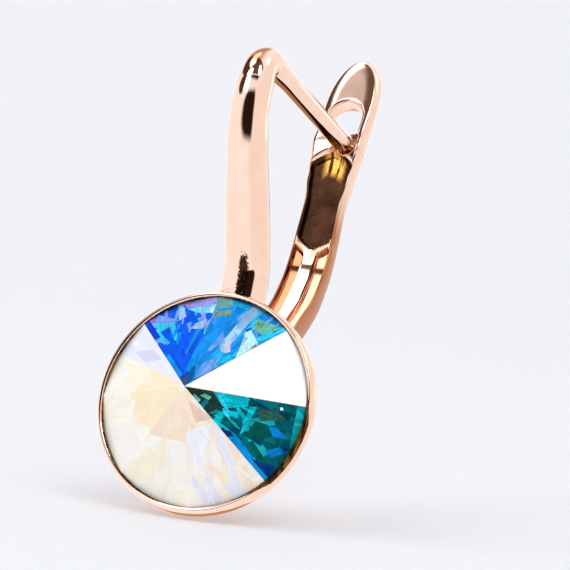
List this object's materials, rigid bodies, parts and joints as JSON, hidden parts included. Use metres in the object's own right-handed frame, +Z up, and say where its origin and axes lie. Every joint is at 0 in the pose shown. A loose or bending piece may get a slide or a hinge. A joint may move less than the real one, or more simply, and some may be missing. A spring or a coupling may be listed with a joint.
{
  "type": "leverback earring",
  "caption": "Leverback drop earring: round pointed crystal in a thin bezel cup, curved front bar bent over into the ear wire, and a hinged lever with a pierced loop.",
  "frame": {"origin": "where the ear lobe sits, on the underside of the ear wire just behind the bend", "axes": "+Z up as the earring hangs, the stone faces -Y and a little upwards, +X to the right seen from the front"},
  "size_m": [0.011, 0.0219, 0.0229],
  "materials": {
    "rose_gold": "mirror-polished rose-gold plate",
    "coated_crystal": "faceted glass with a foiled back and an iridescent coating"
  },
  "bodies": {
    "setting": {"setting": "rose_gold", "crystal": "coated_crystal", "hinge_pin": "rose_gold"},
    "lever": {"lever": "rose_gold"}
  },
  "joints": [
    {"name": "lever_hinge", "type": "hinge", "parent": "setting", "child": "lever", "pos_m": [0, 0.00106, -0.01544], "axis": [-1, 0, 0], "range_deg": [0, 55]}
  ]
}
